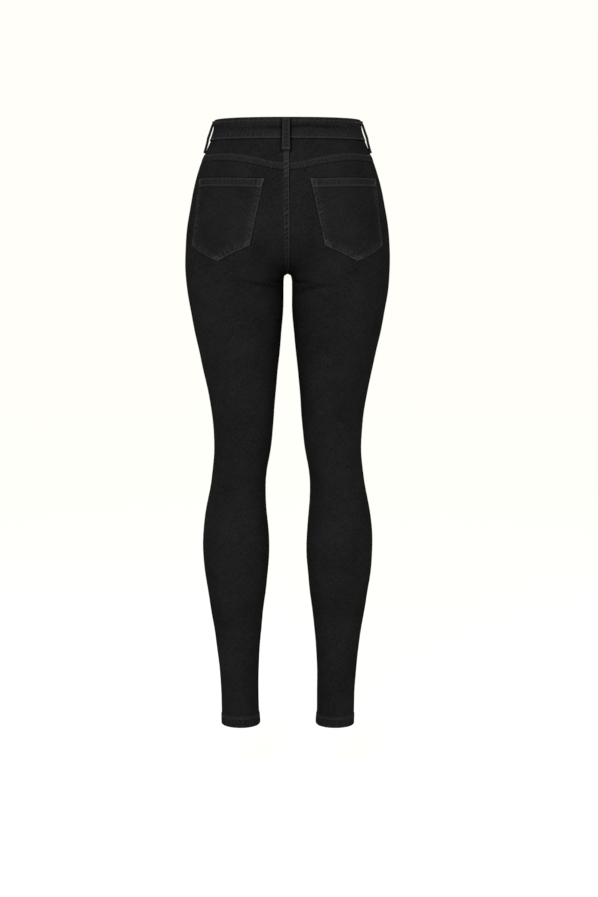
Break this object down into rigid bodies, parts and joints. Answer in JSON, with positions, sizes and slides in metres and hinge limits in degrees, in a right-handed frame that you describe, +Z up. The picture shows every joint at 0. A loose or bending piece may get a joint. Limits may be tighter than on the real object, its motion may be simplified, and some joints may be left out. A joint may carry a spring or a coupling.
{
  "type": "skinny jeans",
  "caption": "High-rise black stretch denim skinny jeans, hollow and filled out as worn, with back yoke, seat patch pockets, belt loops and a zip fly.",
  "frame": {"origin": "centre of the waist opening at half the height of the waistband, where the wearer's waist holds the garment", "axes": "+Z up, out of the waist; +X the wearer's left; +Y the wearer's back, the side that the picture shows"},
  "size_m": [0.3346, 0.2386, 0.9957],
  "materials": {
    "denim": "black stretch twill, matt with faint wear on the seams",
    "thread": "black topstitching thread, a little lighter than the cloth",
    "zip_tape": "black woven tape",
    "button": "satin gunmetal"
  },
  "bodies": {
    "root": {"waistband": "denim", "yoke_left": "denim", "yoke_right": "denim", "back_leg_left": "denim", "back_leg_right": "denim", "front_leg_left": "denim", "front_leg_right": "denim", "pocket_left": "denim", "pocket_right": "denim", "belt_loop_back": "denim", "belt_loop_left": "denim", "belt_loop_right": "denim", "belt_loop_front_left": "denim", "belt_loop_front_right": "denim", "waist_button": "button", "zip_tape": "zip_tape"}
  },
  "joints": []
}
